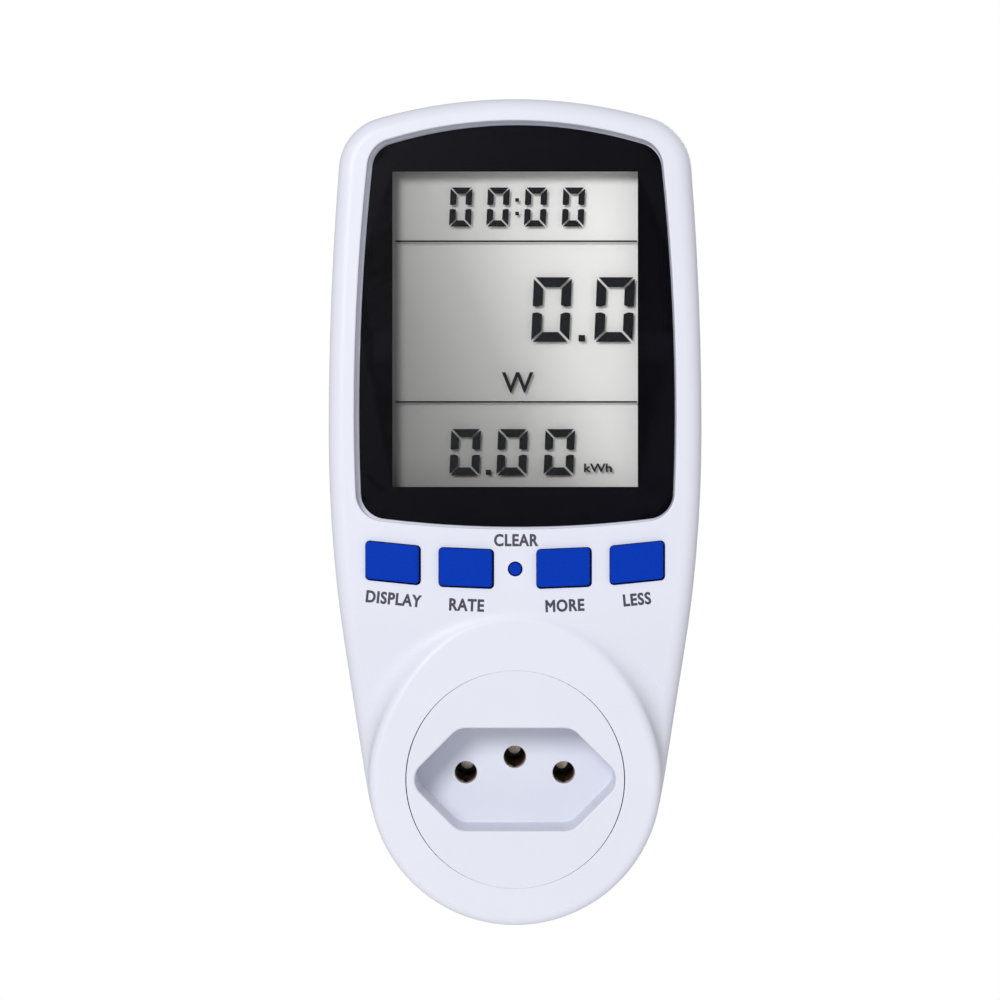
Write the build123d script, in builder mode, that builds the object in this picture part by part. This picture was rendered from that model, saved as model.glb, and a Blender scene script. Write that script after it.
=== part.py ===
from build123d import *
from math import asin, degrees, radians, sqrt, tan
import os

# Plug-in power meter: a two-shell white case with a large display, five keys and a
# pass-through mains socket on the front, and a three-pin plug on the back.
# Frame: +X is to the viewer's right, +Y points into the wall, +Z is up. The origin is on the
# plug's end face, midway between the line and neutral pins. A length called ..._h is a height
# in front of that end face, towards the viewer, so it grows along -Y.

os.makedirs("parts", exist_ok=True)

# ------------------------------------------------------------------ driving dimensions, mm
# Plug and socket (pins on a 19 mm pitch, earth 3 mm above the line-neutral axis)
pin_pitch = 19.0
earth_rise = 3.0
pin_radius = 2.0
pin_length = 19.0
pin_tip_round = 1.6
pin_neck_radius = 1.8  # the part of a pin held in the boss
pin_relief = 0.3  # depth of the groove in the boss round each pin's root
pin_relief_gap = 0.05
pin_tail_radius = 1.2
hole_clearance = 0.2  # radial, around a pin in a socket hole
recess_depth = 12.0
recess_half_height = 9.7
recess_half_apex = 20.5
recess_corner = 3.6
recess_edge = 0.4
plug_play = 1.15  # plug boss smaller than a recess, each side
boss_length = 12.5
boss_edge = 0.8

# Case
body_depth = 41.5
wall = 2.2
top_z = 129.2
crown_corner = (32.95, 123.3)
waist = (35.5, 66.0)
hip = (33.6, 33.8)
bowl_radius = 28.4
crown_radius = 10.4
rim_radius = 3.0
back_radius = 2.5
front_depth = 22.0  # front shell, from the parting plane to the face
seam_chamfer = 0.2
lip_height = 1.2
lip_play = 0.1
shoulder_top_z = 32.0
shoulder_deg = 14.0
shoulder_blend = 40.0
back_step = 8.5  # how much thinner the case is behind the display
back_step_z = 46.0
back_step_run = 9.0
back_blend = 8.0

# Socket collar and insert
collar_radius = 27.8
collar_edge = 1.8
collar_root = 4.0
insert_radius = 20.6
insert_side_gap = 0.2  # seam at the insert's sides
insert_top_gap = 0.03  # seam at its top and foot, where it is a close fit
insert_flange_radius = 22.8
insert_flange_thick = 2.0
cup_wall = 1.8
floor_thick = 2.0

# Display window, from the face inwards
window_top_z = 124.75
window_corner = (27.6, 120.0)
window_waist = (30.5, 69.0)
window_foot = (29.95, 49.55)
window_bottom_z = 47.4
window_corner_radius = 5.4
window_sink = 1.2
window_edge = 0.3
lens_play = 0.42
lens_shift = (0.34, -0.06)  # the lens sits to the right in its well
lens_thick = 1.35
mask_thick = 0.1
mask_inset = 0.05
tape_thick = 0.15
tape_inset = 0.3
tape_width = 1.4
ledge_thick = 1.4
view_width = 46.7
view_height = 60.0
view_z = 85.4
ledge_reveal = 1.75  # the ledge's opening is wider than the view, each side

# Display, behind the ledge
gasket_thick = 0.55
glass_thick = 1.1
film_thick = 0.2
glass_lap = 1.2  # the glass reaches past the ledge's opening, each side
contact_lap = 3.5  # bare contact edge along the foot of the front glass
holder_wall = 0.6
holder_play = 0.12
display_gap = 4.6  # from the reflector's back to the board
zebra_thick = 2.0

# Keys
key_width = 10.55
key_height = 7.6
key_corner = 0.9
key_proud = 1.0
key_edge = 0.4
key_play = 0.25
key_shift = (-0.14, 0.1)  # the keys hang towards the upper left of their openings
key_flange = 1.0
key_flange_thick = 1.0
key_arc_radius = 230.0
key_row_z = 39.85
key_inner_x = 9.25
key_outer_x = 23.1
key_float = 0.2
key_stem_radius = 1.6
reset_radius = 1.2
reset_hole_radius = 1.42
reset_proud = 0.2
reset_edge = 0.25
reset_flange_radius = 2.2
reset_stem_radius = 1.0
switch_size = 6.0
switch_height = 3.4
plunger_radius = 1.7
plunger_foot_radius = 2.2
plunger_foot_thick = 0.6
plunger_reach = 5.0  # plunger tip above the board
plunger_play = 0.1

# Boards
board_thick = 1.6
display_board_half = 26.6
display_board_foot_z = 28.5
display_board_shoulder_z = 118.6
display_tab_half = 15.0
display_tab_z = 124.3
power_board_half = 20.0
power_board_top_z = 46.0
power_board_foot_z = -17.0
power_board_corner = 5.0

# Screws and posts
case_screw_top = (21.2, 121.75)
case_screw_low = (25.5, 21.0)
screw_radius = 1.22
screw_pilot = 1.25
screw_clear = 1.6
screw_length = 13.0
screw_head_radius = 2.5
screw_head_height = 1.8
screw_sink_radius = 2.8
screw_sink_depth = 3.0
post_radius = 2.6
tube_radius = 3.7
ear_screw_x = 23.4
ear_post_radius = 2.3
ear_thick = 2.0
ear_half_height = 4.0
ear_reach = 25.2
ear_play = 0.2
small_screw_radius = 0.97
small_pilot = 1.0
small_clear = 1.25
small_head_radius = 2.0
small_head_height = 1.4
display_screw_top = (11.0, 121.4)
display_screw_low = (20.4, 31.6)
power_screw = (16.6, 42.6)

# Contacts
sleeve_radius = 3.1
sleeve_bore = 2.02
sleeve_rear_h = 26.0
sleeve_slot = 0.8
sleeve_slot_length = 9.0
tail_width = 2.6
tail_thick = 0.9
clip_thick = 0.4
clip_length = 2.0
block_play = 0.12
block_half_height = 7.6
block_half_apex = 19.2
block_corner = 3.0

# ------------------------------------------------------------------ derived stations
back_h = boss_length
face_h = back_h + body_depth
parting_h = face_h - front_depth
inner_face_h = face_h - wall
inner_back_h = back_h + wall
display_back_h = back_h + back_step
display_inner_h = display_back_h + wall
pins = {"line": (-pin_pitch / 2, 0.0), "neutral": (pin_pitch / 2, 0.0), "earth": (0.0, earth_rise)}
hole_radius = pin_radius + hole_clearance

lens_top_h = face_h - window_sink
mask_top_h = lens_top_h - lens_thick
tape_top_h = mask_top_h - mask_thick
ledge_h = tape_top_h - tape_thick
ledge_back_h = ledge_h - ledge_thick
glass_top_h = ledge_back_h - gasket_thick
glass_mid_h = glass_top_h - glass_thick
glass_back_h = glass_mid_h - glass_thick
film_back_h = glass_back_h - film_thick
display_board_h = film_back_h - display_gap
display_board_back_h = display_board_h - board_thick
opening_width = view_width + 2 * ledge_reveal
opening_height = view_height + 2 * ledge_reveal
glass_width = opening_width + 2 * glass_lap
glass_head_z = view_z + opening_height / 2 + glass_lap
glass_foot_z = view_z - opening_height / 2 - glass_lap - contact_lap
plunger_tip_h = display_board_h + plunger_reach
key_flange_h = inner_face_h - key_float

floor_h = face_h - recess_depth
cup_back_h = floor_h - floor_thick
block_front_h = cup_back_h - 0.05
block_rear_h = sleeve_rear_h + 1.0
block_ear_h = block_front_h - ear_thick
plug_ear_h = inner_back_h + 5.3
plug_top_h = plug_ear_h + ear_thick
power_board_back_h = plug_top_h + 0.2
power_board_h = power_board_back_h + board_thick
screw_seat_h = display_back_h + screw_sink_depth


def on_arc(x):
    """Centre height and tilt of a key that sits on the keys' shallow arc."""
    z = key_row_z + key_arc_radius - sqrt(key_arc_radius**2 - x**2)
    return z, degrees(asin(x / key_arc_radius))


key_columns = {
    "function": -key_outer_x,
    "cost": -key_inner_x,
    "up": key_inner_x,
    "down": key_outer_x,
}
switch_spots = {name: (x, on_arc(x)[0]) for name, x in key_columns.items()}
switch_spots["reset"] = (0.0, key_row_z)


def at(h):
    """Plane parallel to the face, h in front of the plug's end face, looking at the viewer."""
    return Plane.XZ.offset(h)


def both_sides(spot):
    """A spot and its mirror image across the centre line."""
    return [(-spot[0], spot[1]), spot]


def from_axis(edge):
    """Distance of an edge's middle from the socket's axis."""
    middle = edge @ 0.5
    return sqrt(middle.X**2 + middle.Z**2)


def save(piece, name):
    """Labels a finished piece and writes it as its own STEP file."""
    piece.part.label = name
    export_step(piece.part, f"parts/{name}.step")


# ------------------------------------------------------------------ profiles, drawn as (X, Z)
def moved_out(outline, distance):
    """A convex outline of tangent arcs, moved outwards arc by arc so they stay true arcs."""
    middle = outline.bounding_box().center()
    with BuildSketch() as sketch:
        with BuildLine():
            for edge in outline.edges():
                points = []
                for t in (0, 0.5, 1):
                    tangent = edge % t
                    normal = Vector(tangent.Y, -tangent.X)
                    if normal.dot(edge @ t - middle) < 0:
                        normal = -normal
                    points.append(edge @ t + normal * distance)
                ThreePointArc(*points)
        make_face()
    return sketch.sketch


def case_outline(inset=0.0):
    """Front view of the case: arched crown, long bowed sides, a round foot about the socket."""
    with BuildSketch() as sketch:
        with BuildLine():
            ThreePointArc((-crown_corner[0], crown_corner[1]), (0, top_z), crown_corner)
            upper = TangentArc(waist, crown_corner, tangent=(0, 1))
            lower = TangentArc(waist, hip, tangent=(0, -1))
            # the flank leaves the hip smoothly and runs into the bowl's circle smoothly
            heading = lower % 1
            normal = Vector(-heading.Y, heading.X)
            reach = Vector(*hip)
            flank_radius = (reach.length**2 - bowl_radius**2) / (2 * (reach.dot(normal) - bowl_radius))
            join = (reach - normal * flank_radius).normalized() * -bowl_radius
            flank = TangentArc(hip, (join.X, join.Y), tangent=heading)
            mirror([upper, lower, flank], about=Plane.YZ)
            ThreePointArc((join.X, join.Y), (0, -bowl_radius), (-join.X, join.Y))
        make_face()
        fillet(sketch.vertices().sort_by(Axis.Y)[-2:], crown_radius)
    return moved_out(sketch.sketch, -inset) if inset else sketch.sketch


def window_outline(grow=0.0):
    """The window: an arched top, sides that lean in towards it and a bowed foot."""
    with BuildSketch() as sketch:
        with BuildLine():
            ThreePointArc((-window_corner[0], window_corner[1]), (0, window_top_z), window_corner)
            upper = TangentArc(window_waist, window_corner, tangent=(0, 1))
            lower = TangentArc(window_waist, window_foot, tangent=(0, -1))
            mirror([upper, lower], about=Plane.YZ)
            foot = (-window_foot[0], window_foot[1])
            ThreePointArc(window_foot, (0, window_bottom_z), foot)
        make_face()
        corners = sketch.vertices().sort_by(Axis.Y)
        fillet([corners[0], corners[1], corners[-1], corners[-2]], window_corner_radius)
    return moved_out(sketch.sketch, grow) if grow else sketch.sketch


def lens_outline(inset=0.0):
    return window_outline(-lens_play - inset).moved(Location((lens_shift[0], lens_shift[1], 0)))


def key_outline(x, grow=0.0, shift=(0.0, 0.0)):
    """A key's opening: upright sides, and a head and foot that follow the keys' arc."""
    z, tilt = on_arc(x)
    slope = tan(radians(tilt))
    half_width = key_width / 2 + grow
    half_height = key_height / 2 + grow
    corners = []
    for side, end in ((-1, -1), (1, -1), (1, 1), (-1, 1)):
        rise = side * half_width * slope + end * half_height
        corners.append((x + shift[0] + side * half_width, z + shift[1] + rise))
    with BuildSketch() as sketch:
        with BuildLine():
            Polyline(*corners, close=True)
        make_face()
        fillet(sketch.vertices(), key_corner + grow)
    return sketch.sketch


def hexagon(half_apex, half_height, corner):
    """A flat hexagon with 45 degree ends and round corners, as this plug pattern has."""
    flat = half_apex - half_height
    with BuildSketch() as sketch:
        with BuildLine():
            Polyline(
                (-half_apex, 0),
                (-flat, half_height),
                (flat, half_height),
                (half_apex, 0),
                (flat, -half_height),
                (-flat, -half_height),
                close=True,
            )
        make_face()
        fillet(sketch.vertices(), corner)
    return sketch.sketch


def recess(grow=0.0):
    return hexagon(recess_half_apex + grow * sqrt(2), recess_half_height + grow, recess_corner + grow)


def boss(grow=0.0):
    return recess(grow - plug_play)


def centred(width, height, z, corner=0.0):
    with BuildSketch() as sketch:
        with Locations((0, z)):
            if corner:
                RectangleRounded(width, height, corner)
            else:
                Rectangle(width, height)
    return sketch.sketch


def side_cut(depth):
    """Side view, drawn as (Y, Z), of what is cleared in front of the sloping shoulders.
    depth moves it into the case, which gives the shell its even wall."""
    level = -(face_h - depth)
    foot_z = -bowl_radius - 12
    foot_y = level + (shoulder_top_z - foot_z) * tan(radians(shoulder_deg))
    with BuildSketch() as sketch:
        with BuildLine():
            Polyline(
                (level, shoulder_top_z),
                (foot_y, foot_z),
                (-face_h - 12, foot_z),
                (-face_h - 12, top_z + 12),
                (level, top_z + 12),
                close=True,
            )
        make_face()
        bend = sketch.vertices().sort_by_distance((level, shoulder_top_z))[0]
        fillet(bend, shoulder_blend - depth)
    return sketch.sketch


def back_profile(depth):
    """Side view, drawn as (Y, Z), of the rear shell: deep behind the socket, thinner above."""
    deep = -(back_h + depth)
    thin = -(display_back_h + depth)
    front = -parting_h - 6
    with BuildSketch() as sketch:
        with BuildLine():
            Polyline(
                (front, -bowl_radius - 12),
                (deep, -bowl_radius - 12),
                (deep, back_step_z),
                (thin, back_step_z + back_step_run),
                (thin, top_z + 12),
                (front, top_z + 12),
                close=True,
            )
        make_face()
        for spot in ((deep, back_step_z), (thin, back_step_z + back_step_run)):
            fillet(sketch.vertices().sort_by_distance(spot)[0], back_blend)
    return sketch.sketch


# ------------------------------------------------------------------ front shell
with BuildPart() as shoulder_cut:
    with BuildSketch(Plane.YZ):
        add(side_cut(0))
    extrude(amount=waist[0] + 25, both=True)
    with BuildSketch(at(face_h + 20)):
        Circle(collar_radius)
    extrude(amount=-60, mode=Mode.SUBTRACT)
    root = [
        edge
        for edge in shoulder_cut.edges().filter_by(GeomType.LINE, reverse=True)
        if abs(from_axis(edge) - collar_radius) < 0.05
        and edge.bounding_box().size.Z > 1
        and edge.bounding_box().min.Y > -face_h - 6
    ]
    fillet(root, collar_root)

with BuildPart() as front_hollow:
    with BuildSketch(at(parting_h)):
        add(case_outline(wall))
    extrude(amount=front_depth - wall)
    with BuildSketch(Plane.YZ):
        add(side_cut(wall))
    extrude(amount=waist[0] + 5, both=True, mode=Mode.SUBTRACT)
    with BuildSketch(at(parting_h)):
        Circle(collar_radius - wall)
    extrude(amount=front_depth - wall)

with BuildPart() as front_case:
    with BuildSketch(at(parting_h)):
        add(case_outline())
    extrude(amount=front_depth)
    add(shoulder_cut.part, mode=Mode.SUBTRACT)
    rim = [
        edge
        for edge in front_case.edges()
        if edge.bounding_box().max.Y < -parting_h - 1
        and (abs((edge @ 0.5).X) > 20 or (edge @ 0.5).Z > 100 or (edge @ 0.5).Z < -27)
        and abs(from_axis(edge) - collar_radius) > 0.3
    ]
    fillet(rim, rim_radius)
    crest = [
        edge
        for edge in front_case.edges()
        if edge.bounding_box().max.Y < -face_h + 0.01
        and from_axis(edge) < collar_radius + collar_root
        and edge.bounding_box().max.Z < shoulder_top_z + collar_root
    ]
    fillet(crest, collar_edge)
    chamfer(front_case.faces().sort_by(Axis.Y)[-1].edges(), seam_chamfer)
    add(front_hollow.part, mode=Mode.SUBTRACT)
    # rebate that takes the rear shell's lip
    with BuildSketch(at(parting_h)):
        add(case_outline(wall / 2 - lip_play / 2))
    extrude(amount=lip_height + lip_play, mode=Mode.SUBTRACT)
    # window well on its ledge
    with BuildSketch(at(ledge_back_h)):
        add(window_outline(wall))
    extrude(amount=inner_face_h - ledge_back_h + 0.5)
    with BuildSketch(at(ledge_h)):
        add(window_outline())
    extrude(amount=face_h - ledge_h, mode=Mode.SUBTRACT)
    with BuildSketch(at(ledge_back_h)):
        add(centred(opening_width, opening_height, view_z, 1.0))
    extrude(amount=ledge_h - ledge_back_h, mode=Mode.SUBTRACT)
    well = [
        edge
        for face in front_case.faces().filter_by(Axis.Y)
        for wire in face.inner_wires()
        if abs(wire.bounding_box().max.Z - window_top_z) < 0.01
        for edge in wire.edges()
    ]
    fillet(well, window_edge)
    # posts for the case screws, the display board and the socket insert
    with BuildSketch(at(parting_h)):
        with Locations(both_sides(case_screw_top)):
            Circle(post_radius)
    extrude(amount=ledge_back_h - parting_h + 0.5)
    with BuildSketch(at(parting_h)):
        with Locations(both_sides(case_screw_low)):
            Circle(post_radius)
    extrude(amount=17.5)
    with BuildSketch(at(parting_h)):
        with Locations(both_sides(case_screw_top) + both_sides(case_screw_low)):
            Circle(screw_pilot)
    extrude(amount=screw_length, mode=Mode.SUBTRACT)
    with BuildSketch(at(display_board_h)):
        with Locations(both_sides(display_screw_top)):
            Circle(ear_post_radius)
    extrude(amount=ledge_back_h - display_board_h + 0.5)
    with BuildSketch(at(display_board_h)):
        with Locations(both_sides(display_screw_low)):
            Circle(ear_post_radius)
    extrude(amount=inner_face_h - display_board_h + 0.4)
    with BuildSketch(at(display_board_h)):
        with Locations(both_sides(display_screw_top) + both_sides(display_screw_low)):
            Circle(small_pilot)
    extrude(amount=6.5, mode=Mode.SUBTRACT)
    with BuildSketch(at(floor_h)):
        with Locations(both_sides((ear_screw_x, 0))):
            Circle(ear_post_radius)
    extrude(amount=inner_face_h - floor_h + 0.5)
    with BuildSketch(at(floor_h)):
        with Locations(both_sides((ear_screw_x, 0))):
            Circle(small_pilot)
    extrude(amount=7.5, mode=Mode.SUBTRACT)
    # openings for the socket insert and the keys
    with BuildSketch(at(face_h)):
        Ellipse(insert_radius + insert_side_gap, insert_radius + insert_top_gap)
    extrude(amount=-wall - 0.6, mode=Mode.SUBTRACT)
    for x in key_columns.values():
        with BuildSketch(at(face_h)):
            add(key_outline(x))
        extrude(amount=-wall - 0.5, mode=Mode.SUBTRACT)
    with BuildSketch(at(face_h)):
        with Locations((0, key_row_z)):
            Circle(reset_hole_radius)
    extrude(amount=-wall - 0.5, mode=Mode.SUBTRACT)

save(front_case, "front_case")

# ------------------------------------------------------------------ rear shell
with BuildPart() as rear_hollow:
    with BuildSketch(at(inner_back_h)):
        add(case_outline(wall))
    extrude(amount=parting_h - inner_back_h + 5)
    with BuildSketch(Plane.YZ):
        add(back_profile(wall))
    extrude(amount=waist[0] + 5, both=True, mode=Mode.INTERSECT)

with BuildPart() as rear_case:
    with BuildSketch(at(back_h)):
        add(case_outline())
    extrude(amount=parting_h - back_h)
    with BuildSketch(Plane.YZ):
        add(back_profile(0))
    extrude(amount=waist[0] + 5, both=True, mode=Mode.INTERSECT)
    back_rim = [
        edge
        for edge in rear_case.edges()
        if edge.bounding_box().min.Y > -parting_h + 0.5
        and (abs((edge @ 0.5).X) > 0.01 or (edge @ 0.5).Z > top_z - 10)
    ]
    fillet(back_rim, back_radius)
    chamfer(rear_case.faces().sort_by(Axis.Y)[0].edges(), seam_chamfer)
    with BuildSketch(at(parting_h)):
        add(case_outline(wall / 2 + lip_play / 2))
    extrude(amount=lip_height)
    add(rear_hollow.part, mode=Mode.SUBTRACT)
    # tubes for the case screws
    with BuildSketch(at(display_back_h + 1)):
        with Locations(both_sides(case_screw_top)):
            Circle(tube_radius)
    extrude(amount=parting_h - display_back_h - 1)
    with BuildSketch(at(back_h + 1)):
        with Locations(both_sides(case_screw_low)):
            Circle(tube_radius)
    extrude(amount=parting_h - back_h - 1)
    with BuildSketch(at(back_h)):
        with Locations(both_sides(case_screw_top) + both_sides(case_screw_low)):
            Circle(screw_sink_radius)
    extrude(amount=screw_seat_h - back_h, mode=Mode.SUBTRACT)
    with BuildSketch(at(screw_seat_h)):
        with Locations(both_sides(case_screw_top) + both_sides(case_screw_low)):
            Circle(screw_clear)
    extrude(amount=parting_h - screw_seat_h, mode=Mode.SUBTRACT)
    # posts for the plug base and the power board
    with BuildSketch(at(inner_back_h - 0.5)):
        with Locations(both_sides((ear_screw_x, 0))):
            Circle(ear_post_radius)
    extrude(amount=plug_ear_h - inner_back_h + 0.5)
    with BuildSketch(at(inner_back_h - 0.5)):
        with Locations(both_sides(power_screw)):
            Circle(ear_post_radius)
    extrude(amount=power_board_back_h - inner_back_h + 0.5)
    with BuildSketch(at(inner_back_h + 1)):
        with Locations(both_sides((ear_screw_x, 0)) + both_sides(power_screw)):
            Circle(small_pilot)
    extrude(amount=power_board_back_h - inner_back_h, mode=Mode.SUBTRACT)
    with BuildSketch(at(back_h)):
        add(boss(0.15))
    extrude(amount=wall, mode=Mode.SUBTRACT)

save(rear_case, "rear_case")

# ------------------------------------------------------------------ socket insert
with BuildPart() as socket_insert:
    with BuildSketch(at(face_h)):
        Circle(insert_radius)
    extrude(amount=-wall)
    with BuildSketch(at(inner_face_h - 0.1)):
        Circle(insert_flange_radius)
    extrude(amount=-insert_flange_thick)
    with BuildSketch(at(cup_back_h)):
        add(recess(cup_wall))
    extrude(amount=inner_face_h - cup_back_h)
    with BuildSketch(at(cup_back_h)):
        Rectangle(2 * ear_reach, 2 * ear_half_height)
        Circle(ear_reach, mode=Mode.INTERSECT)
    extrude(amount=ear_thick)
    with BuildSketch(at(floor_h)):
        add(recess())
    extrude(amount=recess_depth, mode=Mode.SUBTRACT)
    mouth = [
        edge
        for edge in socket_insert.edges()
        if edge.bounding_box().max.Y < -face_h + 0.01 and from_axis(edge) < insert_radius - 1
    ]
    fillet(mouth, recess_edge)
    with BuildSketch(at(cup_back_h)):
        with Locations(*pins.values()):
            Circle(hole_radius)
    extrude(amount=floor_thick, mode=Mode.SUBTRACT)
    # room for the front shell's posts, and holes for their screws
    with BuildSketch(at(floor_h)):
        with Locations(both_sides((ear_screw_x, 0))):
            Circle(ear_post_radius + ear_play)
    extrude(amount=inner_face_h - floor_h, mode=Mode.SUBTRACT)
    with BuildSketch(at(cup_back_h)):
        with Locations(both_sides((ear_screw_x, 0))):
            Circle(small_clear)
    extrude(amount=ear_thick, mode=Mode.SUBTRACT)

save(socket_insert, "socket_insert")

# ------------------------------------------------------------------ window
with BuildPart() as window_lens:
    with BuildSketch(at(mask_top_h)):
        add(lens_outline())
    extrude(amount=lens_thick)

save(window_lens, "window_lens")

with BuildPart() as window_mask:
    with BuildSketch(at(tape_top_h)):
        add(lens_outline(mask_inset))
        with Locations((0, view_z)):
            Rectangle(view_width, view_height, mode=Mode.SUBTRACT)
    extrude(amount=mask_thick)

save(window_mask, "window_mask")

with BuildPart() as window_tape:
    with BuildSketch(at(ledge_h)):
        add(lens_outline(tape_inset))
        add(lens_outline(tape_inset + tape_width), mode=Mode.SUBTRACT)
    extrude(amount=tape_thick)

save(window_tape, "window_tape")

# ------------------------------------------------------------------ display
with BuildPart() as lcd_gasket:
    with BuildSketch(at(glass_top_h)):
        add(centred(glass_width - 0.2, opening_height + 2 * glass_lap - 0.2, view_z, 1.0))
        add(centred(opening_width, opening_height, view_z, 1.0), mode=Mode.SUBTRACT)
    extrude(amount=gasket_thick)

save(lcd_gasket, "lcd_gasket")

with BuildPart() as lcd_front_glass:
    with BuildSketch(at(glass_mid_h)):
        add(centred(glass_width, glass_head_z - glass_foot_z, (glass_head_z + glass_foot_z) / 2))
    extrude(amount=glass_thick)

save(lcd_front_glass, "lcd_front_glass")

rear_glass_foot_z = glass_foot_z + contact_lap
with BuildPart() as lcd_rear_glass:
    with BuildSketch(at(glass_back_h)):
        add(centred(glass_width, glass_head_z - rear_glass_foot_z, (glass_head_z + rear_glass_foot_z) / 2))
    extrude(amount=glass_thick)

save(lcd_rear_glass, "lcd_rear_glass")

with BuildPart() as lcd_reflector:
    with BuildSketch(at(film_back_h)):
        add(centred(opening_width - 1.0, opening_height - 1.0, view_z))
    extrude(amount=film_thick)

save(lcd_reflector, "lcd_reflector")

holder_width = glass_width + 2 * (holder_play + holder_wall)
holder_head_z = glass_head_z + holder_play + holder_wall
holder_foot_z = glass_foot_z - holder_play - holder_wall
with BuildPart() as lcd_holder:
    with BuildSketch(at(display_board_h)):
        add(centred(holder_width, holder_head_z - holder_foot_z, (holder_head_z + holder_foot_z) / 2, 0.8))
        add(centred(opening_width - 0.6, opening_height - 0.6, view_z), mode=Mode.SUBTRACT)
    extrude(amount=glass_top_h - display_board_h - 0.3)
    with BuildSketch(at(glass_back_h)):
        add(
            centred(
                glass_width + 2 * holder_play,
                glass_head_z - glass_foot_z + 2 * holder_play,
                (glass_head_z + glass_foot_z) / 2,
            )
        )
    extrude(amount=2 * glass_thick, mode=Mode.SUBTRACT)
    with BuildSketch(at(display_board_h)):
        add(centred(glass_width - 1.6, zebra_thick + 0.2, glass_foot_z + contact_lap / 2))
    extrude(amount=glass_mid_h - display_board_h, mode=Mode.SUBTRACT)

save(lcd_holder, "lcd_holder")

with BuildPart() as zebra_strip:
    with BuildSketch(at(display_board_h)):
        add(centred(glass_width - 2.0, zebra_thick, glass_foot_z + contact_lap / 2))
    extrude(amount=glass_mid_h - display_board_h)

save(zebra_strip, "zebra_strip")

with BuildPart() as display_pcb:
    with BuildSketch(at(display_board_back_h)):
        board_height = display_board_shoulder_z - display_board_foot_z
        add(centred(2 * display_board_half, board_height, display_board_foot_z + board_height / 2, 1.0))
        tab_height = display_tab_z - display_board_shoulder_z + 2
        add(centred(2 * display_tab_half, tab_height, display_tab_z - tab_height / 2))
        with Locations(both_sides(display_screw_top) + both_sides(display_screw_low)):
            Circle(small_clear, mode=Mode.SUBTRACT)
        with Locations((0, 33.2)):
            with GridLocations(2.54, 1, 6, 1):
                Circle(0.5, mode=Mode.SUBTRACT)
    extrude(amount=board_thick)

save(display_pcb, "display_pcb")

with BuildPart() as display_chip:
    with BuildSketch(at(display_board_back_h)):
        with Locations((0, 64.0)):
            RectangleRounded(14.0, 14.0, 1.5)
    extrude(amount=-1.5)
    chamfer(display_chip.faces().sort_by(Axis.Y)[-1].edges(), 0.4)

save(display_chip, "display_chip")

with BuildPart() as crystal:
    with BuildSketch(Plane((13.0, -display_board_back_h + 1.1, 60.0), x_dir=(1, 0, 0), z_dir=(0, 0, 1))):
        Circle(1.05)
    extrude(amount=6.2)

save(crystal, "crystal")

# ------------------------------------------------------------------ keys and their switches
for name, x in key_columns.items():
    with BuildPart() as key:
        with BuildSketch(at(key_flange_h)):
            add(key_outline(x, -key_play, key_shift))
        extrude(amount=face_h + key_proud - key_flange_h)
        fillet(key.faces().sort_by(Axis.Y)[0].edges(), key_edge)
        with BuildSketch(at(key_flange_h)):
            add(key_outline(x, key_flange))
        extrude(amount=-key_flange_thick)
        with BuildSketch(at(plunger_tip_h)):
            with Locations((x, on_arc(x)[0])):
                Circle(key_stem_radius)
        extrude(amount=key_flange_h - key_flange_thick - plunger_tip_h)
    save(key, f"{name}_key")

with BuildPart() as reset_key:
    with BuildSketch(at(key_flange_h)):
        with Locations((0, key_row_z)):
            Circle(reset_radius)
    extrude(amount=face_h + reset_proud - key_flange_h)
    fillet(reset_key.faces().sort_by(Axis.Y)[0].edges(), reset_edge)
    with BuildSketch(at(key_flange_h)):
        with Locations((0, key_row_z)):
            Circle(reset_flange_radius)
    extrude(amount=-key_flange_thick)
    with BuildSketch(at(plunger_tip_h)):
        with Locations((0, key_row_z)):
            Circle(reset_stem_radius)
    extrude(amount=key_flange_h - key_flange_thick - plunger_tip_h)

save(reset_key, "reset_key")

for name, (x, z) in switch_spots.items():
    with BuildPart() as switch:
        with BuildSketch(at(display_board_h)):
            with Locations((x, z)):
                RectangleRounded(switch_size, switch_size, 0.3)
        extrude(amount=switch_height)
        with BuildSketch(at(display_board_h + 0.6)):
            with Locations((x, z)):
                Circle(plunger_foot_radius + plunger_play)
        extrude(amount=switch_height - 0.6 - 0.5, mode=Mode.SUBTRACT)
        with BuildSketch(at(display_board_h + switch_height)):
            with Locations((x, z)):
                Circle(plunger_radius + plunger_play)
        extrude(amount=-0.6, mode=Mode.SUBTRACT)
    save(switch, f"{name}_switch")

    with BuildPart() as plunger:
        with BuildSketch(at(plunger_tip_h)):
            with Locations((x, z)):
                Circle(plunger_radius)
        extrude(amount=-plunger_reach + switch_height - 0.6)
        with BuildSketch(at(display_board_h + switch_height - 0.6)):
            with Locations((x, z)):
                Circle(plunger_foot_radius)
        extrude(amount=-plunger_foot_thick)
        chamfer(plunger.faces().sort_by(Axis.Y)[0].edges(), 0.15)
    save(plunger, f"{name}_plunger")

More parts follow.
